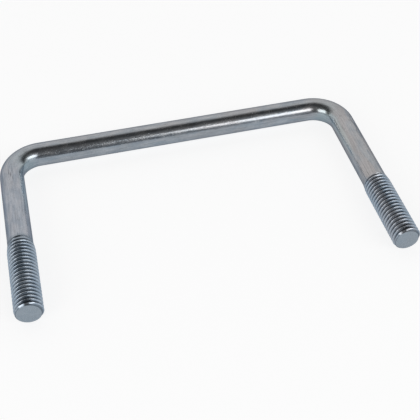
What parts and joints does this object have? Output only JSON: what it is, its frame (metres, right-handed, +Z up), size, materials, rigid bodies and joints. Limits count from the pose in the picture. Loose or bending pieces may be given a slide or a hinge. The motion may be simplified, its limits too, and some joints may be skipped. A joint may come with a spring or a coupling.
{
  "type": "u-bolt",
  "caption": "Square-bend U-bolt of round rod with a threaded end on each of its two parallel legs.",
  "frame": {"origin": "under the middle of the U-bolt's box, on the surface that it lies on", "axes": "+X along the crossbar, -Y out of the two threaded legs, +Z up through the flat of the U"},
  "size_m": [0.1118, 0.065, 0.0079],
  "materials": {
    "zinc_plated_steel": "bright zinc-plated steel, drawn surface with fine lengthwise streaks"
  },
  "bodies": {
    "root": {"u_bolt": "zinc_plated_steel"}
  },
  "joints": []
}
